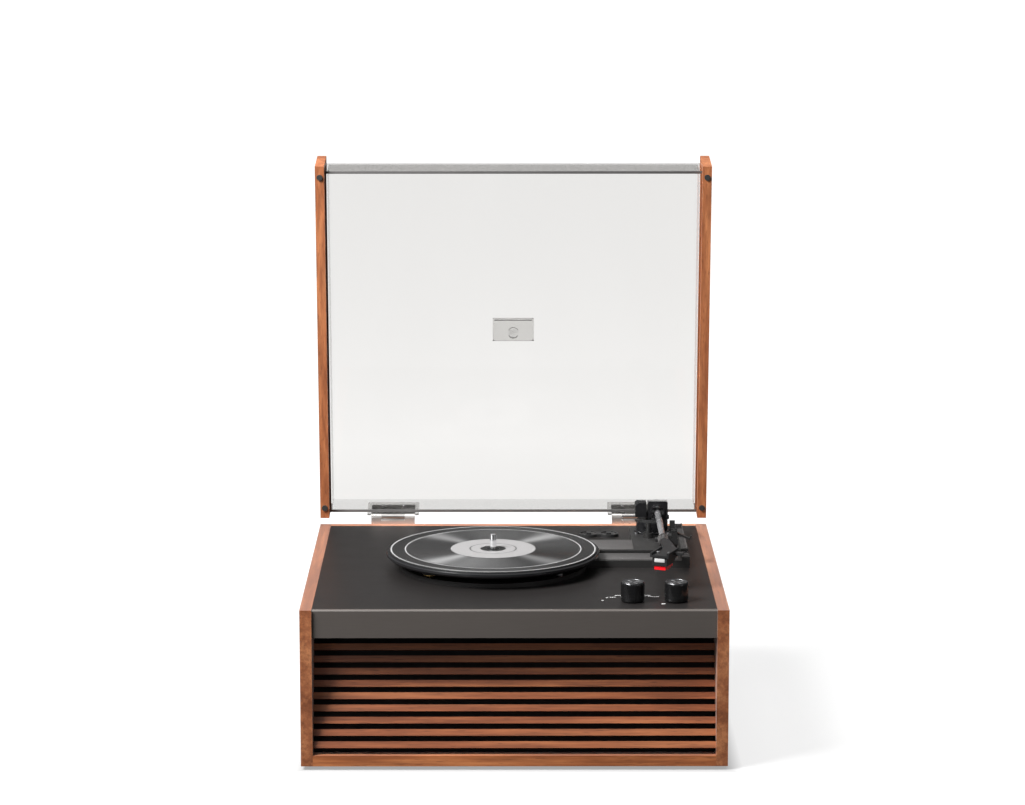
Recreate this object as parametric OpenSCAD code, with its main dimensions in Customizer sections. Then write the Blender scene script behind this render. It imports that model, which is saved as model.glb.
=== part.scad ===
// Turntable record player with a slatted speaker front, standing with its lid open.
// +X is to the right of the person using it, +Y is towards the back, +Z is up.
// The origin is on the surface it stands on, in the middle of its overall footprint.

/* [Cabinet] */
// Overall width of the cabinet
body_w = 432; // [420:1:450]
// Depth of the cabinet, front to back
body_d = 404; // [400:1:420]
// Height of the cabinet without its feet
body_h = 162; // [158:1:176]
// Thickness of the wooden side panels
side_t = 12; // [10:0.5:14]
// Thickness of the back panel
back_t = 10; // [8:0.5:12]
// Thickness of the deck panel
deck_t = 5; // [4:0.5:6]
// Height of the rail under the grille
rail_h = 11; // [10:0.5:14]
// Height of the rubber feet
foot_h = 4; // [3:0.5:6]

/* [Front] */
// Height of the metal fascia
fascia_h = 29; // [24:1:32]
// How far the fascia stands behind the side panels' front edges
fascia_set = 2.5; // [1:0.5:4]
// Number of grille slats
slat_count = 9; // [6:1:9]
// Angle by which the grille leans back
grille_lean = 19; // [14:1:20]

/* [Platter] */
// Radius of the platter
platter_r = 113; // [108:0.5:114]
// Platter centre, to the right of the cabinet's middle
platter_x = -22; // [-26:1:-18]
// Platter centre, behind the cabinet's front
platter_d = 195; // [190:1:200]
// Radius of the record spindle
spindle_r = 3.575; // [3.5:0.005:3.6]
// Radius of the rim that the belt drives
drive_rim_r = 75; // [72:0.5:78]
// Radius of the motor pulley
pulley_r = 7.5; // [6:0.5:8]

/* [Tonearm] */
// Tonearm pivot, to the right of the cabinet's middle
arm_x = 157.5; // [155:0.5:159]
// Tonearm pivot, behind the cabinet's front
arm_d = 322; // [318:1:326]
// Distance from the pivot to the stylus tip
arm_length = 234; // [230:1:236]
// Angle of the cartridge to the arm tube
offset_angle = 22; // [18:1:24]

/* [Lid] */
// Angle between the open lid and the closed lid
lid_open = 84; // [80:1:88]
// Length of the lid rails, front to back when closed
lid_l = 402; // [398:1:406]
// Height of the lid rails when closed
lid_h = 56; // [54:1:60]
// Width of the lid rails
lid_rail_w = 10; // [8:0.5:12]
// Thickness of the clear cover
pane_t = 3; // [2.5:0.5:4]

/* [Hidden] */

$fn = 64;
eps = 0.01;

// Colours
walnut = [0.62, 0.36, 0.22];
black = [0.09, 0.09, 0.09];
grey = [0.34, 0.33, 0.31];
steel = [0.75, 0.75, 0.76];
clear = [0.85, 0.88, 0.88, 0.35];

// Hinge axis, measured from the back face and from the top of the cabinet
hinge_back = 4.5;
hinge_rise = 7.5;
hinge_x = 134.8;
knuckle_r = 3.3;
pin_r = 1.2;
leaf_w = 48.6;
knuckle_gap = 13;
// Closed lid, measured from the same two planes
lid_over = 4.5;
lid_gap = 2;

// The open lid's lower rear corner is the rearmost point of the whole player
lid_corner_y = lid_over - hinge_back;
lid_corner_z = lid_gap + lid_h - hinge_rise;
rear_reach = hinge_back + lid_corner_y * cos(lid_open) + lid_corner_z * sin(lid_open);

front_y = -(body_d + rear_reach) / 2;
back_y = front_y + body_d;
top_z = foot_h + body_h;
deck_z = top_z - deck_t;
inner_w = body_w - 2 * side_t;
bottom_t = 9;

// Fascia
fascia_t = 4;
fascia_y = front_y + fascia_set;
fascia_z = top_z - fascia_h;
fascia_edge = 1.4;

// Grille: the slats lie in a plane that leans back over the front rail
slat_h = 6.7;
slat_t = 9;
slat_pitch = 12.4;
grille_y = front_y + 3;
grille_z = foot_h + rail_h + 7.4;
cloth_t = 1;
cloth_at = 13;
baffle_t = 9;
baffle_drop = rail_h - 9.2;
baffle_h = 131 + baffle_drop;
speaker_x = 102;
speaker_z = 62;
speaker_r = 46;
cone_r = 38;

// Platter stack, heights above the deck
rim_low = 12.7;
rim_top = 18;
mat_top = 19.5;
mat_r = platter_r - 3;
shaft_r = 4;
shaft_fit = 0.06;
belt_z = 7.5;
belt_w = 5;
belt_t = 0.6;
belt_gap = 0.15;
pulley_reach = 92;
pulley_turn = 225;

// Mechanism chassis, distances behind the front and heights above the deck
bridge_front = 188;
bridge_step = 229;
bridge_back = 281;
chassis_right = 186;
chassis_back = 350;
bay_left = 128;
low_h = 7.5;
high_h = 9.5;
disc_r = 99;
disc_h = 4.5;

// Tonearm heights above the deck
arm_y = front_y + arm_d;
tube_z = 32;
tube_r = 3.6;
pedestal_top = 24;
yaw_r = 4;
pitch_r = 1.2;
tip_z = 20.7;
head_z = 36;
cartridge_low = 27.3;
tip_x = arm_x - 4.9;
tip_y = arm_y - arm_length;

// Controls
knob_d = 39.6;
selector_x = 120;
volume_x = 164.4;
knob_r = 12.1;
knob_h = 20.5;
knob_shaft_r = 3;
plate_x = 94;
plate_d = 344;
plate_lobe = 11;
plate_r = 11;
plate_h = 3;
slot_l = 10;
slot_w = 3;

// Places on the underside, counted from the middle
foot_x = 182;
foot_in = 34;
foot_r = 11;

// Rear panel
terminal_x = -110;
terminal_z = foot_h + 52;
terminal_w = 128;
terminal_h = 44;
// Body radii of the two phono sockets, the input socket and the power inlet
socket_r = [5, 5, 3.5, 5.5];

// Moves its children to a place on the deck: x, distance behind the front, height
module on_deck(x, d, z = 0) {
    translate([x, front_y + d, top_z + z]) children();
}

// Stands its children in the leaning plane of the grille
module on_grille(x = 0, y = 0, z = 0) {
    translate([0, grille_y, grille_z]) rotate([-grille_lean, 0, 0]) translate([x, y, z]) children();
}

// Swings children that are drawn with the lid closed into the open lid
module lid_opened() {
    translate([0, back_y + hinge_back, top_z + hinge_rise]) rotate([-lid_open, 0, 0])
        translate([0, -back_y - hinge_back, -top_z - hinge_rise]) children();
}

// Block given by its lowest corner and its size
module block(x, y, z, w, d, h) {
    translate([x, y, z]) cube([w, d, h]);
}

module both_sides() {
    children();
    mirror([1, 0, 0]) children();
}

// ---- Cabinet ----

module side_panel() {
    block(-body_w / 2, front_y, foot_h, side_t, body_d, body_h);
}

module side_panel_left() {
    color(walnut) side_panel();
}

module side_panel_right() {
    color(walnut) mirror([1, 0, 0]) side_panel();
}

module bottom_panel() {
    vents = 6;
    vent_pitch = 16;
    color(black) difference() {
        block(-inner_w / 2, front_y + 14, foot_h, inner_w, body_d - 14 - back_t, bottom_t);
        for (i = [0 : vents - 1])
            block(-150 + i * vent_pitch, back_y - 110, foot_h - 1, 4, 60, bottom_t + 2);
    }
}

module front_rail() {
    color(walnut) block(-inner_w / 2, front_y, foot_h, inner_w, 14, rail_h);
}

module back_panel() {
    color(walnut) difference() {
        block(-inner_w / 2, back_y - back_t, foot_h, inner_w, back_t, body_h);
        for (i = [0 : 3])
            socket_row(i) translate([0, 0, -back_t - 1]) cylinder(r = socket_r[i] + 0.3, h = back_t + 2);
    }
}

module slide_slots(z, h) {
    for (s = [-1, 1])
        on_deck(plate_x + s * plate_lobe - slot_w / 2, plate_d - slot_l / 2, z) cube([slot_w, slot_l, h]);
}

module deck_panel() {
    deck_front = fascia_y + fascia_t;
    color(black) difference() {
        block(-inner_w / 2, deck_front, deck_z, inner_w, back_y - back_t - deck_front, deck_t);
        on_deck(platter_x, platter_d, -deck_t - 1) cylinder(r = 12, h = deck_t + 2);
        pulley_place(-deck_t - 1) cylinder(r = 6, h = deck_t + 2);
        for (x = [selector_x, volume_x])
            on_deck(x, knob_d, -deck_t - 1) cylinder(r = knob_shaft_r + 1, h = deck_t + 2);
        slide_slots(-deck_t - 1, deck_t + 2);
        on_deck(arm_x, arm_d, -deck_t - 1) cylinder(r = 10, h = deck_t + 2);
    }
}

module fascia() {
    color(grey) translate([-inner_w / 2, fascia_y, fascia_z]) rotate([90, 0, 90])
        linear_extrude(inner_w) polygon([
            [0, 0], [fascia_t, 0], [fascia_t, fascia_h],
            [fascia_edge, fascia_h], [0, fascia_h - fascia_edge]
        ]);
}

module grille_slats() {
    color(walnut) for (i = [0 : slat_count - 1])
        on_grille(-inner_w / 2, 0, i * slat_pitch) cube([inner_w, slat_t, slat_h]);
}

module grille_cloth() {
    color(black) on_grille(-inner_w / 2 + 1, cloth_at, -baffle_drop) cube([inner_w - 2, cloth_t, baffle_h]);
}

module speaker_baffle() {
    color(black) difference() {
        on_grille(-inner_w / 2, cloth_at + cloth_t, -baffle_drop) cube([inner_w, baffle_t, baffle_h]);
        for (s = [-1, 1])
            on_grille(s * speaker_x, cloth_at, speaker_z) rotate([-90, 0, 0])
                cylinder(r = cone_r, h = baffle_t + 3);
    }
}

// ---- Speakers, drawn at the middle of their opening and facing the front ----

module at_speaker(side, y = 0) {
    on_grille(side * speaker_x, cloth_at + cloth_t + baffle_t + y, speaker_z) rotate([-90, 0, 0]) children();
}

module speaker_frame(side) {
    rim_t = 2;
    wall = 1.2;
    basket_h = 24;
    color(grey) at_speaker(side) rotate_extrude() polygon([
        [cone_r - 2, 0], [speaker_r, 0], [speaker_r, rim_t], [cone_r, rim_t],
        [18, basket_h], [18, basket_h + wall], [12, basket_h + wall],
        [12, basket_h], [17, basket_h - wall], [cone_r - 2, rim_t - wall]
    ]);
}

module speaker_frame_left() {
    speaker_frame(-1);
}

module speaker_frame_right() {
    speaker_frame(1);
}

module speaker_cone(side) {
    color([0.15, 0.15, 0.15]) at_speaker(side, -6) rotate_extrude() polygon([
        [0, 10], [11, 13], [30, 2], [33, 0], [cone_r - 1, 4],
        [cone_r - 1, 5], [33, 1.2], [31, 3], [12, 15], [0, 12]
    ]);
}

module speaker_cone_left() {
    speaker_cone(-1);
}

module speaker_cone_right() {
    speaker_cone(1);
}

module speaker_magnet(side) {
    color(steel) at_speaker(side, 25.2) {
        cylinder(r = 27, h = 3);
        translate([0, 0, 3]) cylinder(r = 25, h = 10);
        translate([0, 0, 13]) cylinder(r = 27, h = 3);
    }
}

module speaker_magnet_left() {
    speaker_magnet(-1);
}

module speaker_magnet_right() {
    speaker_magnet(1);
}

// ---- Electronics ----

board_w = 130;
board_d = 80;
board_x = terminal_x - board_w / 2;
board_y = back_y - back_t - 12 - board_d;
board_z = foot_h + bottom_t + 8;

module amplifier_board() {
    color("darkgreen") {
        block(board_x, board_y, board_z, board_w, board_d, 1.6);
        for (x = [6, board_w - 6], y = [6, board_d - 6])
            translate([board_x + x, board_y + y, foot_h + bottom_t]) cylinder(r = 3, h = 8);
    }
}

module amplifier_parts() {
    z = board_z + 1.6;
    color(steel) {
        for (i = [0 : 7])
            block(board_x + 20, board_y + 14 + i * 6, z, 34, 2.4, 24);
        block(board_x + 16, board_y + 14, z, 4, 46, 24);
        for (i = [0 : 3])
            translate([board_x + 68 + i * 14, board_y + 20, z]) cylinder(r = 5.5, h = 22);
        block(board_x + 70, board_y + 40, z, 20, 20, 4);
        block(board_x + 98, board_y + 38, z, 24, 26, 18);
    }
}

module socket_row(i) {
    translate([terminal_x - 42 + i * 28, back_y, terminal_z + terminal_h / 2]) rotate([-90, 0, 0]) children();
}

module terminal_plate() {
    color(black) difference() {
        block(terminal_x - terminal_w / 2, back_y, terminal_z, terminal_w, 2, terminal_h);
        for (i = [0 : 3])
            socket_row(i) translate([0, 0, -1]) cylinder(r = socket_r[i], h = 4);
    }
}

module phono_sockets() {
    color("gold") for (i = [0, 1]) socket_row(i) difference() {
        union() {
            translate([0, 0, -8]) cylinder(r = socket_r[i], h = 10);
            translate([0, 0, 2]) cylinder(r = 4.15, h = 8);
        }
        translate([0, 0, -2]) cylinder(r = 1.65, h = 13);
    }
}

module aux_socket() {
    color(black) socket_row(2) difference() {
        union() {
            translate([0, 0, -12]) cylinder(r = socket_r[2], h = 14);
            translate([0, 0, 2]) cylinder(r = 4.5, h = 1.5);
        }
        translate([0, 0, -10.5]) cylinder(r = 1.78, h = 15);
    }
}

module power_inlet() {
    color(black) socket_row(3) difference() {
        union() {
            translate([0, 0, -12]) cylinder(r = socket_r[3], h = 14);
            translate([0, 0, 2]) cylinder(r = 6.5, h = 1.5);
        }
        translate([0, 0, -8]) cylinder(r = 2.85, h = 12);
    }
}

module rubber_feet() {
    color(black) for (x = [-foot_x, foot_x], y = [front_y + foot_in, back_y - foot_in])
        translate([x, y, 0]) {
            cylinder(r1 = foot_r - 1, r2 = foot_r, h = 1);
            translate([0, 0, 1]) cylinder(r = foot_r, h = foot_h - 1);
        }
}

module cabinet_screws() {
    color(steel) {
        for (x = [-190, -64, 64, 190], z = [foot_h + 14, top_z - 14])
            translate([x, back_y, z]) rotate([-90, 0, 0]) cylinder(r1 = 3.6, r2 = 2.6, h = 1.4);
        for (s = [-1, 1], x = [-16, 16])
            translate([s * hinge_x + x, back_y + 1.4, top_z - 8]) rotate([-90, 0, 0])
                cylinder(r1 = 3.2, r2 = 2.4, h = 1);
    }
}

// ---- Mechanism ----

// Plan of the raised bridge and arm bay, distances from the cabinet's middle and front
module bay_plan(inset = 0) {
    left = platter_x + 20;
    polygon([
        [left, bridge_front + inset], [chassis_right - inset, bridge_front + inset],
        [chassis_right - inset, chassis_back - inset], [bay_left + inset, chassis_back - inset],
        [bay_left + inset, bridge_back - inset], [left, bridge_back - inset]
    ]);
}

module mechanism_chassis() {
    groove_w = 5;
    groove_h = 2.5;
    color(black) difference() {
        union() {
            on_deck(platter_x, platter_d) cylinder(r = disc_r, h = disc_h);
            intersection() {
                on_deck(0, 0) linear_extrude(low_h) bay_plan();
                chassis_reach();
            }
            intersection() {
                on_deck(0, 0) linear_extrude(high_h) bay_plan();
                chassis_reach();
                on_deck(-inner_w / 2, bridge_step) cube([inner_w, body_d, high_h]);
            }
            // Raised edge along the right side, in two lengths with a notch between them
            on_deck(chassis_right - 8, bridge_front, low_h - eps) cube([8, 26, 4]);
            on_deck(chassis_right - 8, bridge_front + 34, low_h - eps) cube([8, 126, 5]);
            // Lifter guide
            lifter_place() cylinder(r = 5.5, h = 15);
        }
        on_deck(-inner_w / 2, bridge_step - groove_w, low_h - groove_h)
            cube([inner_w / 2 + chassis_right - 8, groove_w, groove_h + 1]);
        on_deck(platter_x, platter_d, -1) cylinder(r = 8, h = disc_h + 2);
        pulley_place(-1) cylinder(r = 5, h = disc_h + 2);
        lifter_place() translate([0, 0, 2]) cylinder(r = lifter_r + 0.05, h = 20);
        on_deck(arm_x, arm_d, 2) cylinder(r = yaw_r + 2, h = high_h);
    }
}

// The bridge reaches in under the platter and ends on the chassis disc
module chassis_reach() {
    difference() {
        on_deck(-inner_w / 2, 0) cube([inner_w, body_d, high_h + 1]);
        on_deck(platter_x, platter_d, -1) cylinder(r = drive_rim_r + 6, h = high_h + 3);
    }
}

module chassis_screws() {
    reach = 91;
    color(steel) for (a = [100, 200, 320])
        on_deck(platter_x + reach * cos(a), platter_d + reach * sin(a), disc_h) cylinder(r = 3.4, h = 1.8);
}

module bearing_bush() {
    color("goldenrod") on_deck(platter_x, platter_d, -26) difference() {
        cylinder(r = 8, h = 26 + disc_h);
        translate([0, 0, 3]) cylinder(r = shaft_r + shaft_fit, h = 40);
    }
}

module spindle() {
    hub_r = 3.4;
    tip = 36;
    color(steel) on_deck(platter_x, platter_d) {
        translate([0, 0, -22.9]) cylinder(r = shaft_r, h = 29.9);
        translate([0, 0, 7]) cylinder(r = hub_r, h = mat_top - 7);
        translate([0, 0, mat_top]) cylinder(r = spindle_r, h = tip - 1 - mat_top);
        translate([0, 0, tip - 1]) cylinder(r1 = spindle_r, r2 = 2.6, h = 1);
    }
}

module platter() {
    plate = 2.6;
    skirt = 5;
    color(black) on_deck(platter_x, platter_d) rotate_extrude($fn = 128) polygon([
        [3.4, 7], [14, 7], [14, rim_top - plate], [drive_rim_r - 3, rim_top - plate],
        [drive_rim_r - 3, belt_z - 1], [drive_rim_r, belt_z - 1], [drive_rim_r, rim_top - plate],
        [platter_r - skirt, rim_top - plate], [platter_r - skirt, rim_low],
        [platter_r - 2, rim_low], [platter_r, rim_low + 2], [platter_r, rim_top - 1],
        [platter_r - 1, rim_top], [3.4, rim_top]
    ]);
}

module slip_mat() {
    color([0.2, 0.2, 0.2]) on_deck(platter_x, platter_d, rim_top) difference() {
        cylinder(r = mat_r, h = mat_top - rim_top, $fn = 128);
        translate([0, 0, -1]) cylinder(r = 3.75, h = 5);
    }
}

module pulley_place(z) {
    x = pulley_reach * cos(pulley_turn);
    y = pulley_reach * sin(pulley_turn);
    on_deck(platter_x + x, platter_d + y, z) children();
}

// Outline of the belt at a distance outside the two wheels
module belt_line(out) {
    hull() {
        circle(r = drive_rim_r + out, $fn = 96);
        translate([pulley_reach * cos(pulley_turn), pulley_reach * sin(pulley_turn)])
            circle(r = pulley_r + out, $fn = 32);
    }
}

module drive_belt() {
    color([0.05, 0.05, 0.05]) on_deck(platter_x, platter_d, belt_z) linear_extrude(belt_w) difference() {
        belt_line(belt_gap + belt_t);
        belt_line(belt_gap);
    }
}

module motor() {
    color(steel) pulley_place(-deck_t - 28) difference() {
        union() {
            cylinder(r = 17, h = 26);
            translate([0, 0, 26]) cylinder(r = 5, h = 2);
        }
        translate([0, 0, 4]) cylinder(r = 1.55, h = 30);
    }
}

module motor_pulley() {
    color("goldenrod") {
        pulley_place(-deck_t - 23) cylinder(r = 1.5, h = deck_t + 23 + belt_z - 1);
        pulley_place(belt_z - 1) cylinder(r = pulley_r, h = belt_w + 2);
    }
}

// ---- Tonearm ----

module tonearm_pedestal() {
    drum_r = 17.3;
    drum_x = arm_x - 6;
    color(black) difference() {
        union() {
            on_deck(drum_x, arm_d, high_h) cylinder(r = drum_r, h = 12.5);
            on_deck(drum_x, arm_d, high_h + 12.5) cylinder(r = drum_r - 1.2, h = pedestal_top - high_h - 12.5);
        }
        on_deck(arm_x, arm_d, 2) cylinder(r = yaw_r + 0.05, h = 40);
    }
}

yoke_half = 10.75;

module tonearm_yoke() {
    wall_h = 18.3;
    foot_z = 27.5;
    slot_r = 6.2;
    bevel = 1.6;
    color(black) difference() {
        union() {
            on_deck(arm_x, arm_d, 10.5) cylinder(r = yaw_r, h = 15);
            on_deck(arm_x, arm_d, pedestal_top + 0.3) cylinder(r = 13, h = foot_z - pedestal_top - 0.3);
            translate([arm_x, arm_y + 10, top_z + foot_z]) rotate([90, 0, 0])
                linear_extrude(22) polygon([
                    [-yoke_half, 0], [yoke_half, 0], [yoke_half, wall_h - bevel], [yoke_half - bevel, wall_h],
                    [-yoke_half + bevel, wall_h], [-yoke_half, wall_h - bevel]
                ]);
            // Side housing on the left, joined to the block by its foot
            translate([arm_x, arm_y + 12, top_z + foot_z]) rotate([90, 0, 0])
                linear_extrude(22) polygon([
                    [-24.5, 0], [-12.5, 0], [-12.5, 16.2], [-20, 16.2], [-24.5, 13]
                ]);
            on_deck(arm_x - 13, arm_d - 8, foot_z) cube([4, 16, 6]);
        }
        // The top slopes down to the back
        translate([arm_x - 30, arm_y - 12, top_z + foot_z + wall_h]) rotate([-8, 0, 0]) cube([60, 40, 12]);
        // Arched opening that the tube passes through
        on_deck(arm_x - slot_r, arm_d - 20, foot_z + 0.3) cube([2 * slot_r, 40, 7]);
        on_deck(arm_x, arm_d - 20, foot_z + 7.2) rotate([-90, 0, 0]) cylinder(r = slot_r, h = 40);
        // Room behind the pivot for the tube to sink as its front end rises
        on_deck(arm_x - slot_r, arm_d, foot_z - 1.8) cube([2 * slot_r, 20, 3]);
        on_deck(arm_x - 9, arm_d, tube_z) rotate([0, 90, 0]) cylinder(r = pitch_r + 0.05, h = 18);
    }
}

module arm_tube() {
    hub_r = 4.1;
    pin_reach = 8.8;
    color(steel) {
        on_deck(arm_x, arm_d, tube_z) rotate([90, 0, 0]) cylinder(r1 = tube_r, r2 = tube_r - 0.5, h = 150);
        on_deck(arm_x, arm_d, tube_z) rotate([-90, 0, 0]) cylinder(r = tube_r, h = 44);
        on_deck(arm_x - 5.8, arm_d, tube_z) rotate([0, 90, 0]) cylinder(r = hub_r, h = 11.6);
        on_deck(arm_x - pin_reach, arm_d, tube_z) rotate([0, 90, 0]) cylinder(r = pitch_r, h = 2 * pin_reach);
    }
}

module counterweight() {
    color(black) on_deck(arm_x, arm_d + 18, tube_z) rotate([-90, 0, 0]) difference() {
        union() {
            cylinder(r = 6.8, h = 12);
            translate([0, 0, 12]) cylinder(r = 5.6, h = 2.5);
        }
        translate([0, 0, -1]) cylinder(r = tube_r, h = 30);
    }
}

// Places its children at the stylus tip's plan position, turned with the cartridge
module at_tip(z) {
    translate([tip_x, tip_y, top_z + z]) rotate([0, 0, -offset_angle]) children();
}

module headshell() {
    plate_w = 20;
    plate_t = 2.4;
    color(black) {
        difference() {
            union() {
                at_tip(head_z) linear_extrude(plate_t) polygon([
                    [-plate_w / 2, -11], [plate_w / 2, -11], [plate_w / 2, 24], [-plate_w / 2, 28]
                ]);
                for (s = [-1, 1])
                    at_tip(head_z + plate_t - eps) translate([s * 9 - 1, -11, 0]) cube([2, 32, 2.6]);
                // Finger lift on the right
                at_tip(head_z) translate([plate_w / 2 - eps, 8, 0]) cube([8, 7, plate_t]);
                at_tip(head_z) translate([plate_w / 2 + 7, 8, 0]) rotate([0, -35, 0]) cube([6, 7, 1.2]);
                // Neck from the plate back to the collar on the tube
                translate([0, 0, top_z + head_z]) linear_extrude(plate_t) polygon([
                    [tip_x + 2, tip_y + 22], [tip_x + 16, tip_y + 18],
                    [arm_x + 5, arm_y - 168], [arm_x - 5, arm_y - 168]
                ]);
                on_deck(arm_x, arm_d - 172, tube_z + 0.6) rotate([-90, 0, 0]) cylinder(r = 5.4, h = 30);
            }
            on_deck(arm_x, arm_d - 150, tube_z) rotate([-90, 0, 0]) cylinder(r = tube_r - 0.5, h = 60);
            for (s = [-1, 1])
                at_tip(head_z - 1) translate([s * 6.35, 3, 0]) cylinder(r = 1.3, h = 8);
        }
    }
}

module cartridge() {
    low = cartridge_low;
    color(black) {
        at_tip(low) rotate([90, 0, 90]) translate([0, 0, -8]) linear_extrude(16) polygon([
            [-10, 0], [12, 0], [18, 4], [18, head_z - low], [-8, head_z - low], [-10, head_z - low - 2]
        ]);
        for (x = [-5, -1.7, 1.7, 5])
            at_tip(low + 3.5) translate([x, 18, 0]) rotate([-90, 0, 0]) cylinder(r = 0.6, h = 4);
    }
}

module stylus() {
    low = 21.4;
    color("red") {
        at_tip(low) rotate([90, 0, 90]) translate([0, 0, -6]) linear_extrude(12) polygon([
            [-9, 1.6], [2, 0.6], [14, 2.2], [14, cartridge_low - low], [-9, cartridge_low - low]
        ]);
        at_tip(tip_z) cylinder(r1 = 0.15, r2 = 0.5, h = 2.2);
    }
}

rest_y = arm_d - 118;
clip_x = 170;
clip_z = tube_z + 3.5;
clip_pin_r = 0.8;

module arm_rest() {
    // The tube is tapered, so the seat follows its radius here
    seat_z = tube_z - tube_r + 0.5 * (arm_d - rest_y) / 150 - 0.3;
    color(black) difference() {
        union() {
            on_deck(clip_x, rest_y, high_h - 2 * eps) cylinder(r = 4, h = 16);
            on_deck(150, rest_y - 5, seat_z - 3) cube([24, 10, 3]);
            on_deck(162, rest_y - 5, seat_z - 6) cube([12, 10, 4]);
            on_deck(164, rest_y - 5, seat_z - 1) cube([9, 10, 5]);
            for (y = [-5, 3.1])
                on_deck(clip_x - 3, rest_y + y, seat_z) cube([6, 1.9, 9.5]);
        }
        on_deck(clip_x, rest_y - 8, clip_z) rotate([-90, 0, 0]) cylinder(r = clip_pin_r + 0.05, h = 16);
    }
}

// Swinging clip, resting open to the right
module arm_clip() {
    clip_l = 19;
    hook = 4;
    color(black) on_deck(clip_x, rest_y, clip_z) rotate([0, 25, 0]) {
        rotate([-90, 0, 0]) translate([0, 0, -2.7]) cylinder(r = 1.9, h = 5.4);
        rotate([-90, 0, 0]) translate([0, 0, -4.8]) cylinder(r = clip_pin_r, h = 9.6);
        translate([1, -2.7, -1]) cube([clip_l - 1, 5.4, 2]);
        translate([clip_l - 1.6, -2.7, 0]) cube([1.6, 5.4, hook]);
    }
}

lever_x = 171.5;
lever_d = 286;
lever_z = 15;

module cue_lever() {
    color(black) on_deck(lever_x, lever_d, lever_z) {
        translate([-3, 0, 0]) rotate([0, 90, 0]) cylinder(r = 3.5, h = 6);
        translate([-3, -1.8, 0]) cube([6, 3.6, 6]);
        translate([-1.6, 0, 4.4]) rotate([50, 0, 0]) cube([3.2, 3, 14]);
        translate([-2.8, -14, 9]) cube([5.6, 5, 8]);
    }
}

lifter_r = 2.5;
lifter_reach = 32;
lifter_turn = 20;

module lifter_place() {
    on_deck(arm_x - lifter_reach * sin(lifter_turn), arm_d - lifter_reach * cos(lifter_turn)) children();
}

module lifter_bar() {
    bar_top = tube_z - tube_r - 0.3;
    bar_t = 2;
    color(black) {
        lifter_place() translate([0, 0, 7.5]) cylinder(r = lifter_r, h = bar_top - bar_t - 7.5);
        on_deck(arm_x, arm_d, bar_top - bar_t) rotate([0, 0, -90 - 48]) rotate_extrude(angle = 54)
            translate([lifter_reach - 2.5, 0]) square([5, bar_t]);
    }
}

// ---- Controls ----

module knob(x) {
    color(black) on_deck(x, knob_d) difference() {
        rotate_extrude() polygon([
            [0, 0.5], [knob_r - 1, 0.5], [knob_r - 0.3, 1.4], [knob_r, 4],
            [knob_r, knob_h - 2.2], [knob_r - 0.3, knob_h - 0.9], [knob_r - 1, knob_h],
            [knob_r - 2, knob_h], [knob_r - 2.4, knob_h - 0.5], [0, knob_h - 0.9]
        ]);
        translate([0, 0, -1]) cylinder(r = knob_shaft_r, h = 13);
    }
}

module knob_shaft(x) {
    color(steel) on_deck(x, knob_d, -deck_t - 5) cylinder(r = knob_shaft_r, h = deck_t + 17);
}

module selector_knob() {
    knob(selector_x);
    knob_shaft(selector_x);
}

module volume_knob() {
    knob(volume_x);
    knob_shaft(volume_x);
}

// Body of a rotary control under the deck, with a bore for the knob's shaft
module rotary_body(x, r, h) {
    color(steel) on_deck(x, knob_d, -deck_t - h) difference() {
        cylinder(r = r, h = h);
        translate([0, 0, 2]) cylinder(r = knob_shaft_r + 0.06, h = h);
    }
}

module selector_switch() {
    rotary_body(selector_x, 13, 9);
}

module volume_pot() {
    rotary_body(volume_x, 11, 8);
}

module switch_plate() {
    color(black) difference() {
        union() {
            for (s = [-1, 1])
                on_deck(plate_x + s * plate_lobe, plate_d) cylinder(r = plate_r, h = plate_h);
            on_deck(plate_x - plate_lobe, plate_d - 7) cube([2 * plate_lobe, 14, plate_h]);
        }
        for (s = [-1, 1])
            on_deck(plate_x + s * plate_lobe, plate_d, plate_h - 1.2) cylinder(r = plate_r - 2, h = 3);
        slide_slots(-1, plate_h + 2);
    }
}

// Slide switch with its tab in the plate's slot, drawn at the front end of its travel
module slide_tab(side) {
    travel_end = 2.3;
    color(grey) {
        on_deck(plate_x + side * plate_lobe - 1.2, plate_d - slot_l / 2 + 0.3, -deck_t - 3)
            cube([2.4, 3.4, deck_t + 3 + plate_h - 0.6]);
        on_deck(plate_x + side * plate_lobe - 2.6, plate_d - slot_l / 2 - travel_end + 0.3, plate_h - 0.9)
            cube([5.2, 8, 2.4]);
    }
}

module speed_switch() {
    slide_tab(-1);
}

module autostop_switch() {
    slide_tab(1);
}

// ---- Lid, drawn closed and swung open ----

lid_back = back_y + lid_over;
lid_z = top_z + lid_gap;
cover_back = lid_back - 4;
cover_front = lid_back - lid_l + 7;
cover_w = body_w - 2 * lid_rail_w;
cover_low = lid_z + 10;
cover_high = lid_z + 50;

module lid_cover() {
    color(clear) lid_opened() difference() {
        block(-cover_w / 2, cover_front, cover_low, cover_w, cover_back - cover_front, cover_high - cover_low);
        block(-cover_w / 2 + pane_t, cover_front + pane_t, cover_low - 1, cover_w - 2 * pane_t,
            cover_back - cover_front - 2 * pane_t, cover_high - cover_low + 1 - pane_t);
    }
}

module lid_rail() {
    lid_opened() block(-body_w / 2, lid_back - lid_l, lid_z, lid_rail_w, lid_l, lid_h);
}

module lid_rail_left() {
    color(walnut) lid_rail();
}

module lid_rail_right() {
    color(walnut) mirror([1, 0, 0]) lid_rail();
}

module lid_bumpers() {
    bumper_h = 1.7;
    color(black) lid_opened() both_sides() for (y = [lid_back - lid_l + 12, lid_back - 12])
        translate([body_w / 2 - lid_rail_w / 2, y, lid_z - bumper_h]) cylinder(r = 3.15, h = bumper_h);
}

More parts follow.
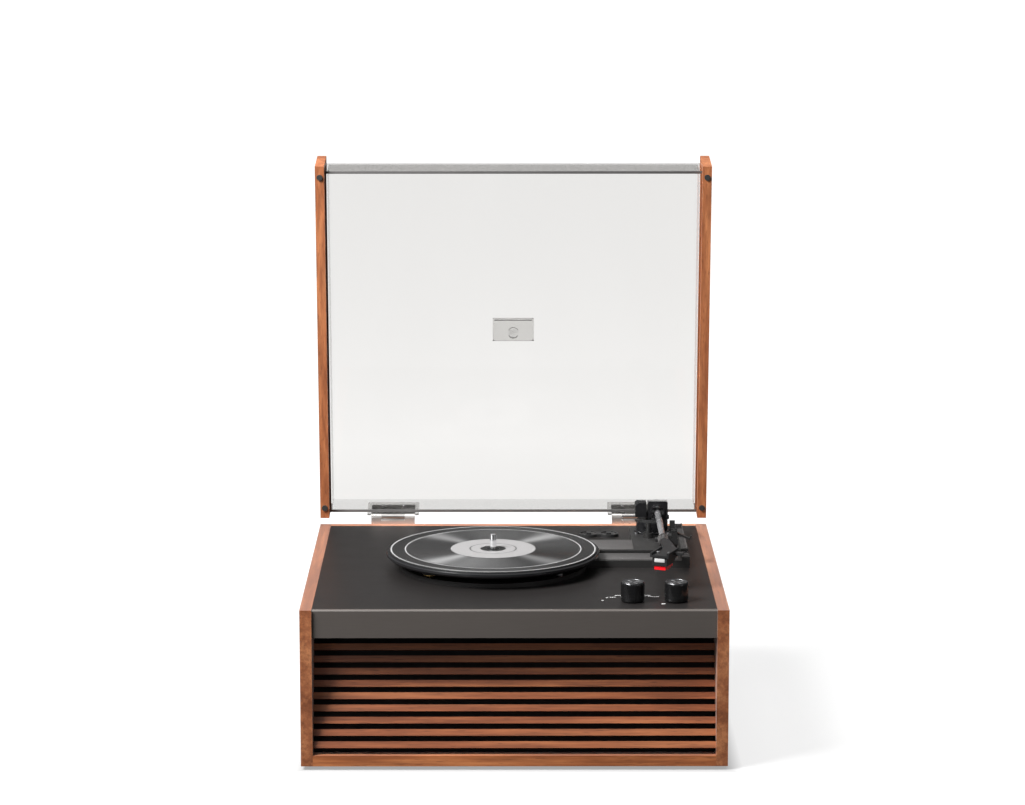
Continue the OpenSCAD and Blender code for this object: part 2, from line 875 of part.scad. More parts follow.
module sleeve_bracket() {
    w = 46;
    l = 25;
    drop = 6;
    wall = 2;
    mid_y = lid_back - lid_l / 2 - 6;
    pane_low = cover_high - pane_t;
    color(clear) lid_opened() {
        block(-w / 2, mid_y - l / 2, pane_low - drop, w, l, 1.6);
        for (x = [-w / 2, w / 2 - wall])
            block(x, mid_y - l / 2, pane_low - drop + 1.6, wall, l, drop - 1.6);
        block(-w / 2 + wall, mid_y - l / 2, pane_low - drop + 1.6, w - 2 * wall, wall, drop - 1.6);
        translate([0, mid_y + 4, pane_low - drop + 1.6]) cylinder(r = 6, h = drop - 1.6);
    }
}

// ---- Hinges ----

block_w = 57.7;
block_t = 2;

module each_hinge() {
    for (s = [-1, 1]) translate([s * hinge_x, 0, 0]) children();
}

module hinge_blocks() {
    ear_w = (block_w - leaf_w) / 2 - 0.3;
    ear_r = 4;
    color(clear) lid_opened() each_hinge() {
        block(-block_w / 2 + ear_r, cover_back, cover_low, block_w - 2 * ear_r, block_t, 30);
        for (s = [-1, 1]) {
            difference() {
                translate([s * (block_w / 2 - ear_r), cover_back, cover_low + 26]) rotate([-90, 0, 0])
                    cylinder(r = ear_r, h = block_t);
                block(-block_w / 2 + ear_r, cover_back - 1, cover_low, block_w - 2 * ear_r, block_t + 2, 30);
            }
            block(s > 0 ? block_w / 2 - ear_r : -block_w / 2, cover_back, cover_low, ear_r, block_t, 26);
            block(s > 0 ? leaf_w / 2 + 0.3 : -leaf_w / 2 - 0.3 - ear_w, cover_back, lid_z + 4,
                ear_w, block_t, 6);
        }
    }
}

module hinge_axis() {
    translate([0, back_y + hinge_back, top_z + hinge_rise]) rotate([0, 90, 0]) children();
}

module hinge_lid_leaves() {
    leaf_y = cover_back + block_t;
    leaf_t = 1.2;
    color(steel) lid_opened() each_hinge() {
        difference() {
            union() {
                hinge_axis() translate([0, 0, -knuckle_gap + 0.2])
                    cylinder(r = knuckle_r, h = 2 * knuckle_gap - 0.4);
                block(-knuckle_gap + 0.2, leaf_y, top_z + hinge_rise, 2 * knuckle_gap - 0.4, leaf_t, 6);
            }
            hinge_axis() translate([0, 0, -20]) cylinder(r = pin_r + 0.05, h = 40);
        }
        block(-leaf_w / 2, leaf_y, top_z + hinge_rise + 6, leaf_w, leaf_t, 21);
        for (x = [-11.6, 11.6])
            translate([x, leaf_y + leaf_t, top_z + hinge_rise + 17]) rotate([-90, 0, 0])
                cylinder(r1 = 3, r2 = 2.2, h = 1);
    }
}

module hinge_body_leaves() {
    knuckle_l = leaf_w / 2 - knuckle_gap;
    leaf_t = 1.4;
    leaf_drop = 18;
    color(steel) each_hinge() {
        block(-leaf_w / 2, back_y, top_z - leaf_drop, leaf_w, leaf_t, leaf_drop + hinge_rise - knuckle_r - 0.4);
        for (s = [-1, 1]) difference() {
            union() {
                hinge_axis() translate([0, 0, s > 0 ? knuckle_gap : -leaf_w / 2])
                    cylinder(r = knuckle_r, h = knuckle_l);
                block(s > 0 ? knuckle_gap : -leaf_w / 2, back_y, top_z + hinge_rise - knuckle_r - 0.4,
                    knuckle_l, 3, knuckle_r + 0.4);
            }
            hinge_axis() translate([0, 0, -30]) cylinder(r = pin_r, h = 60);
        }
    }
}

module hinge_pins() {
    color(steel) each_hinge() hinge_axis() translate([0, 0, -leaf_w / 2]) cylinder(r = pin_r, h = leaf_w);
}

side_panel_left();
side_panel_right();
bottom_panel();
front_rail();
back_panel();
deck_panel();
fascia();
grille_slats();
grille_cloth();
speaker_baffle();
speaker_frame_left();
speaker_frame_right();
speaker_cone_left();
speaker_cone_right();
speaker_magnet_left();
speaker_magnet_right();
amplifier_board();
amplifier_parts();
terminal_plate();
phono_sockets();
aux_socket();
power_inlet();
rubber_feet();
cabinet_screws();
mechanism_chassis();
chassis_screws();
bearing_bush();
spindle();
platter();
slip_mat();
drive_belt();
motor();
motor_pulley();
tonearm_pedestal();
tonearm_yoke();
arm_tube();
counterweight();
headshell();
cartridge();
stylus();
arm_rest();
arm_clip();
cue_lever();
lifter_bar();
selector_knob();
volume_knob();
selector_switch();
volume_pot();
switch_plate();
speed_switch();
autostop_switch();
lid_cover();
lid_rail_left();
lid_rail_right();
lid_bumpers();
sleeve_bracket();
hinge_blocks();
hinge_lid_leaves();
hinge_body_leaves();
hinge_pins();
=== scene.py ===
"""Looks for the turntable record player: materials, small detail pieces, light and camera.

Lengths are in metres unless a name ends in _MM or a docstring says millimetres. The CAD nodes stay
where they are; every piece added here takes its place from them and rides on one of their bodies.
"""

import math

import bmesh
import bpy
from mathutils import Matrix, Vector


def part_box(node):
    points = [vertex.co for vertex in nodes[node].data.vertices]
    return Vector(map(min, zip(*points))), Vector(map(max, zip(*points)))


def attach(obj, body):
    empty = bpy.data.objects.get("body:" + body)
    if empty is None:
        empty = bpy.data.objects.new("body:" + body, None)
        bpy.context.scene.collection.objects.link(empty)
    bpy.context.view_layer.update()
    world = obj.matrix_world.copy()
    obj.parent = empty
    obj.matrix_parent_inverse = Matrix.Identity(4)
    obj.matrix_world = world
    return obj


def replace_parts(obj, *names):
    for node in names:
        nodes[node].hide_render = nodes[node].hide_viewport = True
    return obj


MM = 0.001
SMOOTH_ANGLE = math.radians(35)
BEVEL_ANGLE = math.radians(40)

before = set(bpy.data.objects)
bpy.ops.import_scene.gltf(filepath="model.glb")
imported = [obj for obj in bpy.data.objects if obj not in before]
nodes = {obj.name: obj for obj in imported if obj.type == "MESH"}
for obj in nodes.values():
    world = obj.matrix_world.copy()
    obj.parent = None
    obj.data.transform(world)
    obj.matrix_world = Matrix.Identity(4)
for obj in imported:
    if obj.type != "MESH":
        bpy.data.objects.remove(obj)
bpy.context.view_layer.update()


# ---- Places taken from the CAD ----

def middle(node):
    low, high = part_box(node)
    return (low + high) / 2


def half_size(node):
    low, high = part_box(node)
    return (high - low) / 2


panel_low, panel_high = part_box("side_panel_left")
FRONT = panel_low.y
TOP = panel_high.z
WIDTH = 2 * abs(panel_low.x)
BODY_Y = (panel_low.y + panel_high.y) / 2
BODY_HALF = (panel_high.y - panel_low.y) / 2
PLATTER = middle("slip_mat")
MAT_RADIUS = half_size("slip_mat").x


# ---- Procedural materials ----

def tint(colour, factor):
    return tuple(min(1.0, c * factor) for c in colour[:3]) + (1.0,)


class Paint:
    """One procedural material, put together with short calls."""

    def __init__(self, name, roughness=0.5, metallic=0.0, **sockets):
        self.material = bpy.data.materials.new(name)
        self.material.use_nodes = True
        self.tree = self.material.node_tree
        self.shader = self.tree.nodes["Principled BSDF"]
        self.shader.inputs["Roughness"].default_value = roughness
        self.shader.inputs["Metallic"].default_value = metallic
        for socket, value in sockets.items():
            self.shader.inputs[socket.replace("_", " ")].default_value = value
        self.place = self.node("ShaderNodeTexCoord").outputs["Object"]

    def node(self, kind, inputs=None, **settings):
        made = self.tree.nodes.new(kind)
        for key, value in settings.items():
            setattr(made, key, value)
        for socket, value in (inputs or {}).items():
            self.feed(made.inputs[socket], value)
        return made

    def feed(self, socket, value):
        if isinstance(value, bpy.types.NodeSocket):
            self.tree.links.new(value, socket)
        else:
            socket.default_value = value

    def math(self, operation, a, b=0.0, clamp=False):
        return self.node("ShaderNodeMath", {0: a, 1: b}, operation=operation, use_clamp=clamp).outputs[0]

    def remap(self, value, low, high, new_low=0.0, new_high=1.0):
        inputs = {"Value": value, "From Min": low, "From Max": high, "To Min": new_low, "To Max": new_high}
        return self.node("ShaderNodeMapRange", inputs).outputs[0]

    def moved(self, stretch=(1, 1, 1), shift=(0, 0, 0)):
        return self.node(
            "ShaderNodeMapping", {"Vector": self.place, "Scale": stretch, "Location": shift}
        ).outputs[0]

    def noise(self, scale, detail=4.0, stretch=(1, 1, 1), shift=(0, 0, 0), rough=0.55):
        inputs = {"Vector": self.moved(stretch, shift), "Scale": scale, "Detail": detail, "Roughness": rough}
        return self.node("ShaderNodeTexNoise", inputs).outputs[0]

    def mix(self, factor, a, b):
        made = self.node("ShaderNodeMix", data_type="RGBA")
        self.feed(made.inputs["Factor"], factor)
        self.feed(made.inputs[6], a)
        self.feed(made.inputs[7], b)
        return made.outputs[2]

    def ramp(self, value, stops):
        made = self.node("ShaderNodeValToRGB", {"Fac": value})
        ramp = made.color_ramp
        while len(ramp.elements) < len(stops):
            ramp.elements.new(0.5)
        for element, (position, colour) in zip(ramp.elements, stops):
            element.position = position
            element.color = tint(colour, 1.0)
        return made.outputs[0]

    def bump(self, height, strength, depth_mm=0.2):
        inputs = {"Height": height, "Strength": strength, "Distance": depth_mm * MM}
        self.feed(self.shader.inputs["Normal"], self.node("ShaderNodeBump", inputs).outputs[0])

    def radius(self, centre):
        """Distance from an upright axis through the centre, and the angle round it."""
        parts = self.node("ShaderNodeSeparateXYZ", {0: self.moved(shift=(-centre.x, -centre.y, 0))})
        x, y = parts.outputs[0], parts.outputs[1]
        squares = self.math("ADD", self.math("MULTIPLY", x, x), self.math("MULTIPLY", y, y))
        return self.math("SQRT", squares), self.math("ARCTAN2", y, x)

    def band(self, value, low, high, soft):
        """1 between low and high, falling to 0 over a soft edge."""
        rise = self.remap(value, low - soft, low)
        fall = self.remap(value, high, high + soft, 1.0, 0.0)
        return self.math("MULTIPLY", rise, fall)


def plain(name, colour, roughness, metallic=0.0, grain=900, fleck=0.12, bump=0.15, stretch=(1, 1, 1),
          wear=0.12, spread=0.25, **sockets):
    """A moulded, painted or metal surface: fine grain, slow patches of wear and a light bump."""
    paint = Paint(name, roughness, metallic, **sockets)
    fine = paint.noise(grain, 3.0, stretch)
    slow = paint.noise(22, 3.0, shift=(3, 1, 2))
    base = paint.mix(fine, tint(colour, 1 - fleck), tint(colour, 1 + fleck))
    worn = paint.remap(slow, 0.58, 0.8, 0.0, wear)
    paint.feed(paint.shader.inputs["Base Color"], paint.mix(worn, base, tint(colour, 1.5)))
    spread *= roughness
    paint.feed(
        paint.shader.inputs["Roughness"],
        paint.remap(slow, 0.3, 0.7, roughness - spread, min(1.0, roughness + spread)),
    )
    paint.bump(fine, bump, 0.05)
    return paint.material


def wood(name, along, dark, middle_tone, light, seed, roughness=0.42, sheen=0.0):
    """Oiled veneer. along is the axis that the grain runs in: 0, 1 or 2."""
    paint = Paint(
        name, roughness, Coat_Weight=0.12, Coat_Roughness=0.35, Sheen_Weight=sheen, Sheen_Roughness=0.35
    )
    squeeze = tuple(0.06 if axis == along else 1.0 for axis in range(3))
    fibre = tuple(0.02 if axis == along else 1.0 for axis in range(3))
    shift = (seed, seed * 0.7, seed * 1.3)
    figure = paint.noise(34, 5.0, squeeze, shift, 0.62)
    broad = paint.noise(7, 2.0, squeeze, shift)
    strands = paint.noise(420, 3.0, fibre, shift)
    pores = paint.remap(paint.noise(900, 2.0, squeeze, shift), 0.60, 0.72)
    base = paint.ramp(
        paint.math("ADD", paint.math("MULTIPLY", figure, 0.75), paint.math("MULTIPLY", broad, 0.25)),
        ((0.36, dark), (0.50, middle_tone), (0.64, light)),
    )
    base = paint.mix(paint.remap(strands, 0.35, 0.65, 0.0, 0.4), base, tint(dark, 0.9))
    streaks = paint.noise(190, 4.0, squeeze, shift, 0.65)
    base = paint.mix(paint.remap(streaks, 0.46, 0.66, 0.0, 0.5), base, tint(dark, 0.8))
    base = paint.mix(paint.remap(streaks, 0.46, 0.34, 0.0, 0.35), base, tint(light, 1.05))
    base = paint.mix(paint.math("MULTIPLY", pores, 0.6), base, tint(dark, 0.45))
    paint.feed(paint.shader.inputs["Base Color"], base)
    rough = paint.remap(figure, 0.3, 0.7, roughness - 0.07, roughness + 0.1)
    paint.feed(paint.shader.inputs["Roughness"], rough)
    paint.bump(paint.math("SUBTRACT", strands, pores), 0.25, 0.08)
    return paint.material


def clear_acrylic():
    """Clear polished sheet with faint wipe marks.

    Real acrylic's index is about 1.49. Here it is lower, so that the cover's walls stay pale.
    """
    paint = Paint("clear_acrylic", 0.02, Transmission_Weight=1.0, IOR=1.25)
    wipes = paint.noise(16, 4.0, (1, 1, 0.3))
    dust = paint.noise(700, 2.0)
    colour = paint.mix(wipes, (0.715, 0.708, 0.696, 1), (0.735, 0.728, 0.716, 1))
    paint.feed(paint.shader.inputs["Base Color"], colour)
    paint.feed(paint.shader.inputs["Roughness"], paint.remap(wipes, 0.35, 0.75, 0.0, 0.015))
    paint.bump(dust, 0.004, 0.01)
    return paint.material


def printed_mat():
    """Ribbed rubber mat printed with a grey label and white rings, with a painted highlight in four diagonal
    fans.
    """
    paint = Paint("mat_print", 0.42)
    radius, angle = paint.radius(PLATTER)
    rim = MAT_RADIUS
    rubber = paint.mix(paint.noise(700, 3.0), (0.010, 0.010, 0.010, 1), (0.020, 0.020, 0.020, 1))
    # Painted highlight: the sheen that the ribs would catch, painted into the colour as four bright diagonal
    # fans
    painted_sheen_fan = paint.math("ABSOLUTE", paint.math("SINE", paint.math("MULTIPLY", angle, 2.0)))
    painted_sheen_fan = paint.math("POWER", painted_sheen_fan, 22.0)
    ribbed = paint.band(radius, 0.415 * rim, 0.83 * rim, 0.004 * rim)
    painted_sheen_fan = paint.math("MULTIPLY", painted_sheen_fan, ribbed)
    colour = paint.mix(paint.math("MULTIPLY", painted_sheen_fan, 0.60), rubber, (0.24, 0.24, 0.24, 1))
    dots = paint.math(
        "MULTIPLY",
        paint.math("SINE", paint.math("MULTIPLY", radius, 2900.0)),
        paint.math("SINE", paint.math("MULTIPLY", angle, 180.0)),
    )
    dots = paint.math("MULTIPLY", paint.remap(dots, 0.2, 0.7), ribbed)
    colour = paint.mix(paint.math("MULTIPLY", dots, 0.16), colour, (0.30, 0.30, 0.30, 1))
    outer = paint.band(radius, 0.975 * rim, 0.986 * rim, 0.002 * rim)
    inner = paint.band(radius, 0.840 * rim, 0.849 * rim, 0.002 * rim)
    white = paint.math("MAXIMUM", outer, inner)
    worn = paint.remap(paint.noise(120, 3.0), 0.3, 0.6, 0.75, 1.0)
    colour = paint.mix(paint.math("MULTIPLY", white, worn), colour, (0.42, 0.42, 0.42, 1))
    label = paint.band(radius, 0.124 * rim, 0.407 * rim, 0.002 * rim)
    ring = paint.band(radius, 0.219 * rim, 0.226 * rim, 0.002 * rim)
    label = paint.math("SUBTRACT", label, ring, clamp=True)
    grey = paint.mix(paint.noise(500, 2.0), (0.235, 0.230, 0.230, 1), (0.285, 0.280, 0.280, 1))
    colour = paint.mix(label, colour, grey)
    paint.feed(paint.shader.inputs["Base Color"], colour)
    paint.feed(paint.shader.inputs["Roughness"], paint.remap(label, 0.0, 1.0, 0.40, 0.55))
    paint.bump(paint.noise(900, 2.0), 0.12, 0.04)
    return paint.material


def spun_black(name, centre, cap=False):
    """Black anodised knob whose top is turned, so that it shows a bow-tie highlight; on a cap the bow-tie is
    also a painted highlight in its colour.
    """
    paint = Paint(name, 0.3, 0.2 if cap else 0.85, Anisotropic=0.75)
    radius, angle = paint.radius(centre)
    lines = paint.noise(500, 2.0, (1, 1, 0.02))
    turned = paint.math("SINE", paint.math("MULTIPLY", radius, 9000.0))
    base = paint.mix(lines, (0.030, 0.030, 0.031, 1), (0.052, 0.052, 0.054, 1))
    if cap:
        # Painted highlight: two bright fans across the cap's top, painted into its colour
        highlight_angle = paint.math("ADD", paint.math("MULTIPLY", angle, 2.0), 0.5)
        painted_sheen_fan = paint.math("ABSOLUTE", paint.math("SINE", highlight_angle))
        painted_sheen_fan = paint.math("MULTIPLY", paint.math("POWER", painted_sheen_fan, 30.0), paint.band(radius, 0.0, 0.0085, 0.0005))
        base = paint.mix(painted_sheen_fan, base, (0.26, 0.26, 0.265, 1))
    paint.feed(paint.shader.inputs["Base Color"], base)
    paint.feed(paint.shader.inputs["Roughness"], paint.remap(lines, 0.3, 0.7, 0.18, 0.28))
    outward = paint.moved(shift=(-centre.x, -centre.y, 0))
    round_way = paint.node("ShaderNodeVectorMath", {0: (0, 0, 1), 1: outward}, operation="CROSS_PRODUCT")
    paint.feed(paint.shader.inputs["Tangent"], round_way.outputs[0])
    paint.bump(turned, 0.1, 0.02)
    return paint.material


def woven_cloth():
    """Fine black grille cloth."""
    paint = Paint("cloth_black", 0.9)
    parts = paint.node("ShaderNodeSeparateXYZ", {0: paint.place})
    warp = paint.math("SINE", paint.math("MULTIPLY", parts.outputs[0], 6000.0))
    weft = paint.math("SINE", paint.math("MULTIPLY", parts.outputs[2], 6000.0))
    weave = paint.math("MULTIPLY", warp, weft)
    paint.feed(
        paint.shader.inputs["Base Color"],
        paint.mix(paint.remap(weave, -1, 1), (0.004, 0.004, 0.004, 1), (0.014, 0.013, 0.013, 1)),
    )
    paint.feed(paint.shader.inputs["Roughness"], paint.remap(paint.noise(60), 0.3, 0.7, 0.85, 1.0))
    paint.bump(weave, 0.4, 0.1)
    return paint.material


WOOD_DARK = (0.150, 0.045, 0.017)
WOOD_MID = (0.300, 0.100, 0.038)
WOOD_LIGHT = (0.440, 0.175, 0.070)

body_wood = wood(
    "walnut_body_side", 1, tint(WOOD_DARK, 1.1), tint(WOOD_MID, 1.1), tint(WOOD_LIGHT, 1.1), 1.0, sheen=0.65
)
front_wood = wood(
    "walnut_body_front", 0, (0.195, 0.056, 0.018), (0.400, 0.125, 0.040), (0.580, 0.215, 0.075), 2.0,
    sheen=0.6,
)
slat_wood = wood("walnut_slats", 0, (0.120, 0.034, 0.013), (0.275, 0.082, 0.031), (0.430, 0.150, 0.056), 3.0)
lid_wood = wood("walnut_lid", 2, tint(WOOD_DARK, 1.3), tint(WOOD_MID, 1.35), tint(WOOD_LIGHT, 1.3), 4.0)
black_board = plain("black_board", (0.020, 0.019, 0.019), 0.7, grain=500)
deck_black = plain("deck_black", (0.0135, 0.0122, 0.0118), 0.38, grain=1400, fleck=0.15, bump=0.03,
                   wear=0.02, spread=0.05, Specular_IOR_Level=0.3)
fascia_metal = plain("fascia_metal", (0.088, 0.077, 0.070), 0.40, 0.1, grain=900, stretch=(0.05, 1, 1),
                     fleck=0.08, wear=0.03, spread=0.08)
paper_black = plain("paper_black", (0.03, 0.03, 0.03), 0.9, grain=400, fleck=0.3, bump=0.4)
steel = plain("steel_plain", (0.50, 0.50, 0.51), 0.35, 1.0, grain=300, stretch=(1, 1, 0.1))
board_green = plain("board_green", (0.02, 0.10, 0.04), 0.4, grain=200)
board_parts = plain("board_parts", (0.12, 0.12, 0.13), 0.45, 0.3, grain=400)
black_plastic = plain("black_plastic", (0.022, 0.022, 0.022), 0.34, grain=1300, fleck=0.2, bump=0.2)
chassis_black = plain("chassis_black", (0.017, 0.0165, 0.016), 0.45, grain=1300, fleck=0.15, bump=0.1,
                      spread=0.1)
head_black = plain("head_black", (0.009, 0.009, 0.0095), 0.48, grain=900, fleck=0.2, bump=0.1, spread=0.1)
hinge_metal = plain("hinge_metal", (0.42, 0.41, 0.40), 0.28, 1.0, grain=300, stretch=(0.05, 1, 1), bump=0.05)
leaf_metal = plain("leaf_metal", (0.56, 0.54, 0.52), 0.28, 0.75, grain=300, stretch=(0.05, 1, 1), fleck=0.08,
                   bump=0.05)
# Dark grey for the cover's edge strips: painted shade
edge_shade_grey = plain("edge_shade_grey", (0.10, 0.097, 0.095), 0.5, grain=900, fleck=0.08)
gloss_black = plain("gloss_black", (0.012, 0.012, 0.013), 0.18, grain=700, bump=0.05)
brass = plain("brass", (0.42, 0.29, 0.12), 0.45, 1.0, grain=300)
rubber = plain("rubber_black", (0.02, 0.02, 0.02), 0.75, grain=800, fleck=0.25, bump=0.3)
chrome = plain("chrome", (0.82, 0.82, 0.83), 0.10, 1.0, grain=500, fleck=0.03, bump=0.02, wear=0.05)
tube_silver = plain("tube_silver", (0.50, 0.50, 0.51), 0.28, 0.75, grain=500, stretch=(1, 0.05, 1),
                    fleck=0.03, bump=0.01, wear=0.1)
stylus_red = plain("stylus_red", (0.78, 0.012, 0.018), 0.22, grain=500, fleck=0.06, bump=0.05)
strip_grey = plain("strip_grey", (0.070, 0.067, 0.066), 0.40, grain=900, stretch=(0.1, 1, 1), spread=0.1)
print_white = plain("print_white", (0.62, 0.62, 0.61), 0.6, grain=1500, fleck=0.12, bump=0.1)
label_white = plain("label_white", (0.52, 0.52, 0.515), 0.5, grain=900, fleck=0.05)
wire_red = plain("wire_red", (0.35, 0.02, 0.02), 0.4, grain=900)
acrylic = clear_acrylic()
cloth = woven_cloth()
mat_print = printed_mat()
selector_black = spun_black("knob_black_selector", middle("selector_knob"))
volume_black = spun_black("knob_black_volume", middle("volume_knob"))
selector_cap = spun_black("knob_cap_selector", middle("selector_knob"), cap=True)
volume_cap = spun_black("knob_cap_volume", middle("volume_knob"), cap=True)

NODE_FINISH = {
    body_wood: ("side_panel_left", "side_panel_right"),
    front_wood: ("front_rail", "back_panel"),
    slat_wood: ("grille_slats",),
    lid_wood: ("lid_rail_left", "lid_rail_right"),
    black_board: ("bottom_panel", "speaker_baffle"),
    deck_black: ("deck_panel",),
    fascia_metal: ("fascia",),
    cloth: ("grille_cloth",),
    paper_black: ("speaker_cone_left", "speaker_cone_right"),
    steel: ("speaker_frame_left", "speaker_frame_right", "speaker_magnet_left", "speaker_magnet_right",
            "motor", "selector_switch", "volume_pot", "cabinet_screws", "chassis_screws"),
    board_green: ("amplifier_board",),
    board_parts: ("amplifier_parts",),
    black_plastic: ("terminal_plate", "aux_socket", "power_inlet", "arm_rest", "arm_clip", "cue_lever",
                    "lifter_bar", "switch_plate", "speed_switch", "autostop_switch"),
    chassis_black: ("mechanism_chassis",),
    gloss_black: ("tonearm_yoke", "tonearm_pedestal", "counterweight", "platter"),
    head_black: ("headshell", "cartridge"),
    brass: ("phono_sockets", "bearing_bush", "motor_pulley"),
    rubber: ("rubber_feet", "lid_bumpers", "drive_belt"),
    mat_print: ("slip_mat",),
    chrome: ("spindle", "hinge_pins"),
    hinge_metal: ("hinge_lid_leaves",),
    leaf_metal: ("hinge_body_leaves",),
    tube_silver: ("arm_tube",),
    stylus_red: ("stylus",),
    selector_black: ("selector_knob",),
    volume_black: ("volume_knob",),
    acrylic: ("lid_cover", "sleeve_bracket", "hinge_blocks"),
}

# Rounded edges, by node, in millimetres
EDGE_MM = {
    "side_panel_left": 0.7, "side_panel_right": 0.7, "front_rail": 0.5, "back_panel": 0.5,
    "grille_slats": 0.6, "lid_rail_left": 0.6, "lid_rail_right": 0.6, "deck_panel": 0.3, "fascia": 0.25,
    "lid_cover": 0.5, "sleeve_bracket": 0.3, "hinge_blocks": 0.4, "mechanism_chassis": 0.35,
    "tonearm_yoke": 0.4, "tonearm_pedestal": 0.4, "headshell": 0.3, "cartridge": 0.35, "stylus": 0.15,
    "arm_rest": 0.3, "arm_clip": 0.35, "cue_lever": 0.35, "switch_plate": 0.3, "speed_switch": 0.25,
    "autostop_switch": 0.25, "counterweight": 0.5, "hinge_body_leaves": 0.2, "hinge_lid_leaves": 0.2,
    "selector_knob": 0.25, "volume_knob": 0.25, "terminal_plate": 0.3, "rubber_feet": 0.4,
}


def finish_nodes():
    for material, names in NODE_FINISH.items():
        for name in names:
            slots = nodes[name].data.materials
            slots.clear()
            slots.append(material)
    for name, width in EDGE_MM.items():
        edge = nodes[name].modifiers.new("rounded_edges", "BEVEL")
        edge.width = width * MM
        edge.segments = 2
        edge.limit_method = "ANGLE"
        edge.angle_limit = BEVEL_ANGLE
        edge.harden_normals = True


def clear_nodes_cast_no_shadow():
    for name in NODE_FINISH[acrylic]:
        nodes[name].visible_shadow = False


# ---- Mesh pieces ----

class Shape:
    """Closed solids gathered into one mesh piece."""

    def __init__(self):
        self.mesh = bmesh.new()

    def block(self, centre, size, turn=None, edge=0.2 * MM):
        """A box with rounded edges; turn is a rotation matrix about its centre."""
        made = bmesh.ops.create_cube(self.mesh, size=1.0)["verts"]
        bmesh.ops.scale(self.mesh, vec=Vector(size), verts=made)
        edges = list({e for v in made for e in v.link_edges})
        rounded = bmesh.ops.bevel(
            self.mesh, geom=edges, offset=min(edge, min(size) * 0.3), segments=2, affect="EDGES", profile=0.5
        )
        verts = list({v for f in rounded["faces"] for v in f.verts} | {v for v in made if v.is_valid})
        self.put(verts, centre, turn)
        return self

    def put(self, verts, centre, turn):
        if turn is not None:
            bmesh.ops.rotate(self.mesh, verts=verts, cent=(0, 0, 0), matrix=turn)
        bmesh.ops.translate(self.mesh, verts=verts, vec=centre)

    def spin(self, centre, profile, turn=None, steps=64):
        """Turns a closed (radius, height) outline about the upright axis."""
        rings = []
        for step in range(steps):
            a = 2 * math.pi * step / steps
            rings.append([self.mesh.verts.new((r * math.cos(a), r * math.sin(a), z)) for r, z in profile])
        count = len(profile)
        for step in range(steps):
            here, there = rings[step], rings[(step + 1) % steps]
            for i in range(count):
                j = (i + 1) % count
                self.mesh.faces.new((here[i], there[i], there[j], here[j]))
        self.put([v for ring in rings for v in ring], centre, turn)
        return self

    def disc(self, centre, radius, height, turn=None, edge=0.15 * MM, steps=32, hole=0.02 * MM):
        """A short round bar with softened rims, standing on the centre."""
        profile = [
            (hole, 0), (radius - edge, 0), (radius, edge), (radius, height - edge),
            (radius - edge, height), (hole, height),
        ]
        return self.spin(centre, profile, turn, steps)

    def piece(self, name, material, body, slot):
        bmesh.ops.recalc_face_normals(self.mesh, faces=self.mesh.faces)
        data = bpy.data.meshes.new(name)
        self.mesh.to_mesh(data)
        self.mesh.free()
        data.materials.append(material)
        data.shade_smooth()
        data.set_sharp_from_angle(angle=SMOOTH_ANGLE)
        return ride_on(bpy.data.objects.new(name, data), body)


def ride_on(piece, body):
    bpy.context.scene.collection.objects.link(piece)
    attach(piece, body)
    return piece


def wire(name, points, radius, material, body):
    """A round wire along smooth points."""
    curve = bpy.data.curves.new(name, "CURVE")
    curve.dimensions = "3D"
    curve.bevel_depth = radius
    curve.bevel_resolution = 3
    curve.use_fill_caps = True
    line = curve.splines.new("BEZIER")
    line.bezier_points.add(len(points) - 1)
    for knot, point in zip(line.bezier_points, points):
        knot.co = point
        knot.handle_left_type = knot.handle_right_type = "AUTO"
    curve.materials.append(material)
    return ride_on(bpy.data.objects.new(name, curve), body)


def about(axis, degrees):
    return Matrix.Rotation(math.radians(degrees), 3, axis)


# ---- Platter ----

def slip_mat():
    """Ribbed mat: low grooves between the label and the inner ring, and a few outside it."""
    low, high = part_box("slip_mat")
    depth = 0.22 * MM
    profile = [(3.75 * MM, low.z), (3.75 * MM, high.z - 0.1 * MM), (13.6 * MM, high.z - 0.1 * MM)]
    profile += [(13.7 * MM, high.z), (0.41 * MAT_RADIUS, high.z)]
    pitch = 0.85 * MM
    start, end = 0.418 * MAT_RADIUS, 0.826 * MAT_RADIUS
    for i in range(int((end - start) / pitch)):
        r = start + i * pitch
        profile += [(r, high.z), (r + 0.3 * pitch, high.z - depth), (r + 0.5 * pitch, high.z - depth)]
    profile += [(0.832 * MAT_RADIUS, high.z), (0.858 * MAT_RADIUS, high.z)]
    for i in range(8):
        r = 0.868 * MAT_RADIUS + i * 0.0115 * MAT_RADIUS
        profile += [(r, high.z), (r + 0.5 * MM, high.z - depth), (r + 0.8 * MM, high.z - depth)]
    profile += [(0.965 * MAT_RADIUS, high.z), (MAT_RADIUS - 0.4 * MM, high.z)]
    profile += [(MAT_RADIUS, high.z - 0.4 * MM), (MAT_RADIUS, low.z)]
    mat = Shape().spin((PLATTER.x, PLATTER.y, 0), profile, steps=160)
    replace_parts(mat.piece("slip_mat_ribbed", mat_print, "platter", "mat_print"), "slip_mat")


def spindle_base():
    """Thin washer round the spindle, in the mat's dark centre."""
    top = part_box("slip_mat")[1].z
    washer = Shape().disc((PLATTER.x, PLATTER.y, top), 6.2 * MM, 0.5 * MM, hole=3.7 * MM)
    washer.piece("spindle_washer", gloss_black, "platter", "gloss_black")


# ---- Knobs and printing ----

def knob_trim(node, body, material):
    """Turned cap let into the knob's top."""
    centre, radius, top = middle(node), half_size(node).x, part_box(node)[1].z
    cap = Shape()
    profile = [(0.05 * MM, top - 0.80 * MM), (radius - 2.5 * MM, top - 0.38 * MM)]
    profile += [(radius - 2.2 * MM, top + 0.05 * MM), (radius - 1.1 * MM, top + 0.05 * MM)]
    profile += [(radius - 0.95 * MM, top - 0.1 * MM), (radius - 0.95 * MM, top - 1.1 * MM)]
    profile += [(0.05 * MM, top - 1.4 * MM)]
    cap.spin((centre.x, centre.y, 0), profile, steps=72)
    cap.piece(node + "_cap", material, body, "knob_black")


